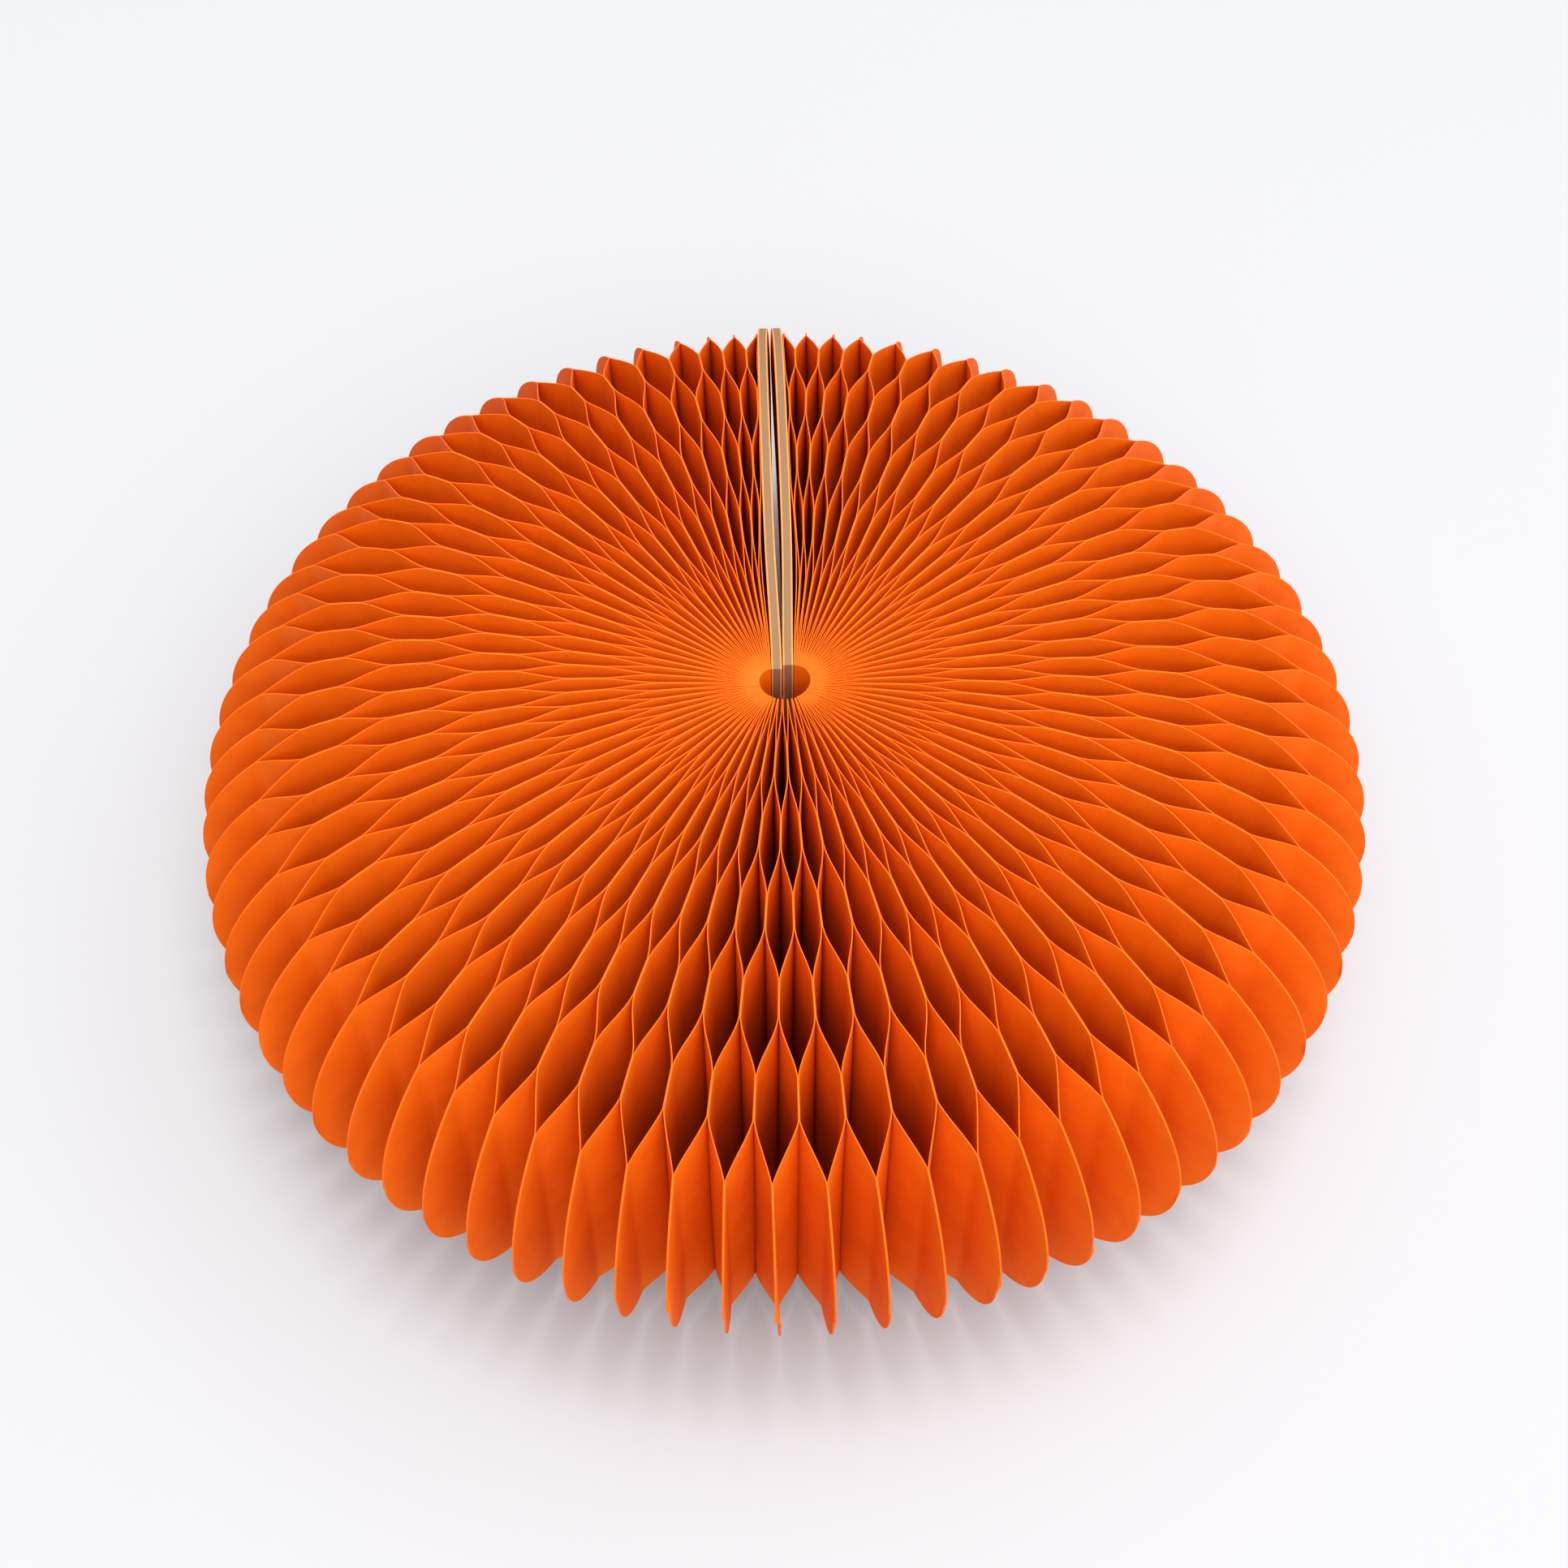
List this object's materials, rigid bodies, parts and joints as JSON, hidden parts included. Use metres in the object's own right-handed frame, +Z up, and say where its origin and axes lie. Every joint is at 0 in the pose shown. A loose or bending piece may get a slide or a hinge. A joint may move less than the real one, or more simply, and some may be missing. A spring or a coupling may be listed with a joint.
{
  "type": "paper honeycomb ball",
  "caption": "Flattened ball of glued paper sheets that fans open round a hollow spine between two card covers.",
  "frame": {"origin": "under the middle of the ball, on the surface that it stands on; the spine axis is 1.27 mm to -Y of it, because the covers reach out a little further than the sheets", "axes": "+Z up along the spine, -Y towards the front of the picture, +Y along the covers, +X to the right"},
  "size_m": [0.2818, 0.2814, 0.096],
  "materials": {
    "orange_paper": "matt",
    "orange_card": "matt",
    "greyboard": "matt"
  },
  "bodies": {
    "left_cover": {"left_cover_board": "greyboard", "left_cover_inner_facing": "orange_card", "left_cover_outer_facing": "orange_card"},
    "block_01": {"sheet_block_01": "orange_paper"},
    "block_02": {"sheet_block_02": "orange_paper"},
    "block_03": {"sheet_block_03": "orange_paper"},
    "block_04": {"sheet_block_04": "orange_paper"},
    "block_05": {"sheet_block_05": "orange_paper"},
    "block_06": {"sheet_block_06": "orange_paper"},
    "block_07": {"sheet_block_07": "orange_paper"},
    "block_08": {"sheet_block_08": "orange_paper"},
    "block_09": {"sheet_block_09": "orange_paper"},
    "block_10": {"sheet_block_10": "orange_paper"},
    "block_11": {"sheet_block_11": "orange_paper"},
    "block_12": {"sheet_block_12": "orange_paper"},
    "block_13": {"sheet_block_13": "orange_paper"},
    "block_14": {"sheet_block_14": "orange_paper"},
    "block_15": {"sheet_block_15": "orange_paper"},
    "block_16": {"sheet_block_16": "orange_paper"},
    "block_17": {"sheet_block_17": "orange_paper"},
    "block_18": {"sheet_block_18": "orange_paper"},
    "block_19": {"sheet_block_19": "orange_paper"},
    "block_20": {"sheet_block_20": "orange_paper"},
    "block_21": {"sheet_block_21": "orange_paper"},
    "block_22": {"sheet_block_22": "orange_paper"},
    "block_23": {"sheet_block_23": "orange_paper"},
    "block_24": {"sheet_block_24": "orange_paper"},
    "block_25": {"sheet_block_25": "orange_paper"},
    "block_26": {"sheet_block_26": "orange_paper"},
    "block_27": {"sheet_block_27": "orange_paper"},
    "block_28": {"sheet_block_28": "orange_paper"},
    "block_29": {"sheet_block_29": "orange_paper"},
    "block_30": {"sheet_block_30": "orange_paper"},
    "block_31": {"sheet_block_31": "orange_paper"},
    "block_32": {"sheet_block_32": "orange_paper"},
    "block_33": {"sheet_block_33": "orange_paper"},
    "block_34": {"sheet_block_34": "orange_paper"},
    "block_35": {"sheet_block_35": "orange_paper"},
    "block_36": {"sheet_block_36": "orange_paper"},
    "block_37": {"sheet_block_37": "orange_paper"},
    "block_38": {"sheet_block_38": "orange_paper"},
    "block_39": {"sheet_block_39": "orange_paper"},
    "right_cover": {"right_cover_board": "greyboard", "right_cover_inner_facing": "orange_card", "right_cover_outer_facing": "orange_card"}
  },
  "joints": [
    {"name": "fan_hinge_01", "type": "hinge", "parent": "left_cover", "child": "block_01", "pos_m": [-0.00265, 0.00339, 0.048], "axis": [0, 0, 1], "range_deg": [-4.62, 0], "deforming": ["sheet_block_01"]},
    {"name": "fan_hinge_02", "type": "hinge", "parent": "block_01", "child": "block_02", "pos_m": [-0.00313, 0.00335, 0.048], "axis": [0, 0, 1], "range_deg": [-9.23, 0], "deforming": ["sheet_block_02"]},
    {"name": "fan_hinge_03", "type": "hinge", "parent": "block_02", "child": "block_03", "pos_m": [-0.0036, 0.00323, 0.048], "axis": [0, 0, 1], "range_deg": [-9.23, 0], "deforming": ["sheet_block_03"]},
    {"name": "fan_hinge_04", "type": "hinge", "parent": "block_03", "child": "block_04", "pos_m": [-0.00406, 0.00303, 0.048], "axis": [0, 0, 1], "range_deg": [-9.23, 0], "deforming": ["sheet_block_04"]},
    {"name": "fan_hinge_05", "type": "hinge", "parent": "block_04", "child": "block_05", "pos_m": [-0.0045, 0.00276, 0.048], "axis": [0, 0, 1], "range_deg": [-9.23, 0], "deforming": ["sheet_block_05"]},
    {"name": "fan_hinge_06", "type": "hinge", "parent": "block_05", "child": "block_06", "pos_m": [-0.00491, 0.00239, 0.048], "axis": [0, 0, 1], "range_deg": [-9.23, 0], "deforming": ["sheet_block_06"]},
    {"name": "fan_hinge_07", "type": "hinge", "parent": "block_06", "child": "block_07", "pos_m": [-0.00527, 0.00195, 0.048], "axis": [0, 0, 1], "range_deg": [-9.23, 0], "deforming": ["sheet_block_07"]},
    {"name": "fan_hinge_08", "type": "hinge", "parent": "block_07", "child": "block_08", "pos_m": [-0.00558, 0.00141, 0.048], "axis": [0, 0, 1], "range_deg": [-9.23, 0], "deforming": ["sheet_block_08"]},
    {"name": "fan_hinge_09", "type": "hinge", "parent": "block_08", "child": "block_09", "pos_m": [-0.00581, 0.0008, 0.048], "axis": [0, 0, 1], "range_deg": [-9.23, 0], "deforming": ["sheet_block_09"]},
    {"name": "fan_hinge_10", "type": "hinge", "parent": "block_09", "child": "block_10", "pos_m": [-0.00595, 0.00012, 0.048], "axis": [0, 0, 1], "range_deg": [-9.23, 0], "deforming": ["sheet_block_10"]},
    {"name": "fan_hinge_11", "type": "hinge", "parent": "block_10", "child": "block_11", "pos_m": [-0.00598, -0.00062, 0.048], "axis": [0, 0, 1], "range_deg": [-9.23, 0], "deforming": ["sheet_block_11"]},
    {"name": "fan_hinge_12", "type": "hinge", "parent": "block_11", "child": "block_12", "pos_m": [-0.00589, -0.00139, 0.048], "axis": [0, 0, 1], "range_deg": [-9.23, 0], "deforming": ["sheet_block_12"]},
    {"name": "fan_hinge_13", "type": "hinge", "parent": "block_12", "child": "block_13", "pos_m": [-0.00566, -0.00219, 0.048], "axis": [0, 0, 1], "range_deg": [-9.23, 0], "deforming": ["sheet_block_13"]},
    {"name": "fan_hinge_14", "type": "hinge", "parent": "block_13", "child": "block_14", "pos_m": [-0.00529, -0.00297, 0.048], "axis": [0, 0, 1], "range_deg": [-9.23, 0], "deforming": ["sheet_block_14"]},
    {"name": "fan_hinge_15", "type": "hinge", "parent": "block_14", "child": "block_15", "pos_m": [-0.00477, -0.00371, 0.048], "axis": [0, 0, 1], "range_deg": [-9.23, 0], "deforming": ["sheet_block_15"]},
    {"name": "fan_hinge_16", "type": "hinge", "parent": "block_15", "child": "block_16", "pos_m": [-0.00412, -0.00439, 0.048], "axis": [0, 0, 1], "range_deg": [-9.23, 0], "deforming": ["sheet_block_16"]},
    {"name": "fan_hinge_17", "type": "hinge", "parent": "block_16", "child": "block_17", "pos_m": [-0.00335, -0.00497, 0.048], "axis": [0, 0, 1], "range_deg": [-9.23, 0], "deforming": ["sheet_block_17"]},
    {"name": "fan_hinge_18", "type": "hinge", "parent": "block_17", "child": "block_18", "pos_m": [-0.00247, -0.00543, 0.048], "axis": [0, 0, 1], "range_deg": [-9.23, 0], "deforming": ["sheet_block_18"]},
    {"name": "fan_hinge_19", "type": "hinge", "parent": "block_18", "child": "block_19", "pos_m": [-0.00152, -0.00575, 0.048], "axis": [0, 0, 1], "range_deg": [-9.23, 0], "deforming": ["sheet_block_19"]},
    {"name": "fan_hinge_20", "type": "hinge", "parent": "block_19", "child": "block_20", "pos_m": [-0.00051, -0.00591, 0.048], "axis": [0, 0, 1], "range_deg": [-9.23, 0], "deforming": ["sheet_block_20"]},
    {"name": "fan_hinge_21", "type": "hinge", "parent": "block_20", "child": "block_21", "pos_m": [0.00051, -0.00591, 0.048], "axis": [0, 0, 1], "range_deg": [-9.23, 0], "deforming": ["sheet_block_21"]},
    {"name": "fan_hinge_22", "type": "hinge", "parent": "block_21", "child": "block_22", "pos_m": [0.00152, -0.00575, 0.048], "axis": [0, 0, 1], "range_deg": [-9.23, 0], "deforming": ["sheet_block_22"]},
    {"name": "fan_hinge_23", "type": "hinge", "parent": "block_22", "child": "block_23", "pos_m": [0.00247, -0.00543, 0.048], "axis": [0, 0, 1], "range_deg": [-9.23, 0], "deforming": ["sheet_block_23"]},
    {"name": "fan_hinge_24", "type": "hinge", "parent": "block_23", "child": "block_24", "pos_m": [0.00335, -0.00497, 0.048], "axis": [0, 0, 1], "range_deg": [-9.23, 0], "deforming": ["sheet_block_24"]},
    {"name": "fan_hinge_25", "type": "hinge", "parent": "block_24", "child": "block_25", "pos_m": [0.00412, -0.00439, 0.048], "axis": [0, 0, 1], "range_deg": [-9.23, 0], "deforming": ["sheet_block_25"]},
    {"name": "fan_hinge_26", "type": "hinge", "parent": "block_25", "child": "block_26", "pos_m": [0.00477, -0.00371, 0.048], "axis": [0, 0, 1], "range_deg": [-9.23, 0], "deforming": ["sheet_block_26"]},
    {"name": "fan_hinge_27", "type": "hinge", "parent": "block_26", "child": "block_27", "pos_m": [0.00529, -0.00297, 0.048], "axis": [0, 0, 1], "range_deg": [-9.23, 0], "deforming": ["sheet_block_27"]},
    {"name": "fan_hinge_28", "type": "hinge", "parent": "block_27", "child": "block_28", "pos_m": [0.00566, -0.00219, 0.048], "axis": [0, 0, 1], "range_deg": [-9.23, 0], "deforming": ["sheet_block_28"]},
    {"name": "fan_hinge_29", "type": "hinge", "parent": "block_28", "child": "block_29", "pos_m": [0.00589, -0.00139, 0.048], "axis": [0, 0, 1], "range_deg": [-9.23, 0], "deforming": ["sheet_block_29"]},
    {"name": "fan_hinge_30", "type": "hinge", "parent": "block_29", "child": "block_30", "pos_m": [0.00598, -0.00062, 0.048], "axis": [0, 0, 1], "range_deg": [-9.23, 0], "deforming": ["sheet_block_30"]},
    {"name": "fan_hinge_31", "type": "hinge", "parent": "block_30", "child": "block_31", "pos_m": [0.00595, 0.00012, 0.048], "axis": [0, 0, 1], "range_deg": [-9.23, 0], "deforming": ["sheet_block_31"]},
    {"name": "fan_hinge_32", "type": "hinge", "parent": "block_31", "child": "block_32", "pos_m": [0.00581, 0.0008, 0.048], "axis": [0, 0, 1], "range_deg": [-9.23, 0], "deforming": ["sheet_block_32"]},
    {"name": "fan_hinge_33", "type": "hinge", "parent": "block_32", "child": "block_33", "pos_m": [0.00558, 0.00141, 0.048], "axis": [0, 0, 1], "range_deg": [-9.23, 0], "deforming": ["sheet_block_33"]},
    {"name": "fan_hinge_34", "type": "hinge", "parent": "block_33", "child": "block_34", "pos_m": [0.00527, 0.00195, 0.048], "axis": [0, 0, 1], "range_deg": [-9.23, 0], "deforming": ["sheet_block_34"]},
    {"name": "fan_hinge_35", "type": "hinge", "parent": "block_34", "child": "block_35", "pos_m": [0.00491, 0.00239, 0.048], "axis": [0, 0, 1], "range_deg": [-9.23, 0], "deforming": ["sheet_block_35"]},
    {"name": "fan_hinge_36", "type": "hinge", "parent": "block_35", "child": "block_36", "pos_m": [0.0045, 0.00276, 0.048], "axis": [0, 0, 1], "range_deg": [-9.23, 0], "deforming": ["sheet_block_36"]},
    {"name": "fan_hinge_37", "type": "hinge", "parent": "block_36", "child": "block_37", "pos_m": [0.00406, 0.00303, 0.048], "axis": [0, 0, 1], "range_deg": [-9.23, 0], "deforming": ["sheet_block_37"]},
    {"name": "fan_hinge_38", "type": "hinge", "parent": "block_37", "child": "block_38", "pos_m": [0.0036, 0.00323, 0.048], "axis": [0, 0, 1], "range_deg": [-9.23, 0], "deforming": ["sheet_block_38"]},
    {"name": "fan_hinge_39", "type": "hinge", "parent": "block_38", "child": "block_39", "pos_m": [0.00313, 0.00335, 0.048], "axis": [0, 0, 1], "range_deg": [-9.23, 0], "deforming": ["sheet_block_39"]},
    {"name": "fan_hinge_40", "type": "hinge", "parent": "block_39", "child": "right_cover", "pos_m": [0.00265, 0.00339, 0.048], "axis": [0, 0, 1], "range_deg": [-4.62, 0]}
  ],
  "couplings": [
    {"joint": "fan_hinge_02", "follows": "fan_hinge_01", "ratio": 2},
    {"joint": "fan_hinge_03", "follows": "fan_hinge_01", "ratio": 2},
    {"joint": "fan_hinge_04", "follows": "fan_hinge_01", "ratio": 2},
    {"joint": "fan_hinge_05", "follows": "fan_hinge_01", "ratio": 2},
    {"joint": "fan_hinge_06", "follows": "fan_hinge_01", "ratio": 2},
    {"joint": "fan_hinge_07", "follows": "fan_hinge_01", "ratio": 2},
    {"joint": "fan_hinge_08", "follows": "fan_hinge_01", "ratio": 2},
    {"joint": "fan_hinge_09", "follows": "fan_hinge_01", "ratio": 2},
    {"joint": "fan_hinge_10", "follows": "fan_hinge_01", "ratio": 2},
    {"joint": "fan_hinge_11", "follows": "fan_hinge_01", "ratio": 2},
    {"joint": "fan_hinge_12", "follows": "fan_hinge_01", "ratio": 2},
    {"joint": "fan_hinge_13", "follows": "fan_hinge_01", "ratio": 2},
    {"joint": "fan_hinge_14", "follows": "fan_hinge_01", "ratio": 2},
    {"joint": "fan_hinge_15", "follows": "fan_hinge_01", "ratio": 2},
    {"joint": "fan_hinge_16", "follows": "fan_hinge_01", "ratio": 2},
    {"joint": "fan_hinge_17", "follows": "fan_hinge_01", "ratio": 2},
    {"joint": "fan_hinge_18", "follows": "fan_hinge_01", "ratio": 2},
    {"joint": "fan_hinge_19", "follows": "fan_hinge_01", "ratio": 2},
    {"joint": "fan_hinge_20", "follows": "fan_hinge_01", "ratio": 2},
    {"joint": "fan_hinge_21", "follows": "fan_hinge_01", "ratio": 2},
    {"joint": "fan_hinge_22", "follows": "fan_hinge_01", "ratio": 2},
    {"joint": "fan_hinge_23", "follows": "fan_hinge_01", "ratio": 2},
    {"joint": "fan_hinge_24", "follows": "fan_hinge_01", "ratio": 2},
    {"joint": "fan_hinge_25", "follows": "fan_hinge_01", "ratio": 2},
    {"joint": "fan_hinge_26", "follows": "fan_hinge_01", "ratio": 2},
    {"joint": "fan_hinge_27", "follows": "fan_hinge_01", "ratio": 2},
    {"joint": "fan_hinge_28", "follows": "fan_hinge_01", "ratio": 2},
    {"joint": "fan_hinge_29", "follows": "fan_hinge_01", "ratio": 2},
    {"joint": "fan_hinge_30", "follows": "fan_hinge_01", "ratio": 2},
    {"joint": "fan_hinge_31", "follows": "fan_hinge_01", "ratio": 2},
    {"joint": "fan_hinge_32", "follows": "fan_hinge_01", "ratio": 2},
    {"joint": "fan_hinge_33", "follows": "fan_hinge_01", "ratio": 2},
    {"joint": "fan_hinge_34", "follows": "fan_hinge_01", "ratio": 2},
    {"joint": "fan_hinge_35", "follows": "fan_hinge_01", "ratio": 2},
    {"joint": "fan_hinge_36", "follows": "fan_hinge_01", "ratio": 2},
    {"joint": "fan_hinge_37", "follows": "fan_hinge_01", "ratio": 2},
    {"joint": "fan_hinge_38", "follows": "fan_hinge_01", "ratio": 2},
    {"joint": "fan_hinge_39", "follows": "fan_hinge_01", "ratio": 2},
    {"joint": "fan_hinge_40", "follows": "fan_hinge_01", "ratio": 1}
  ]
}
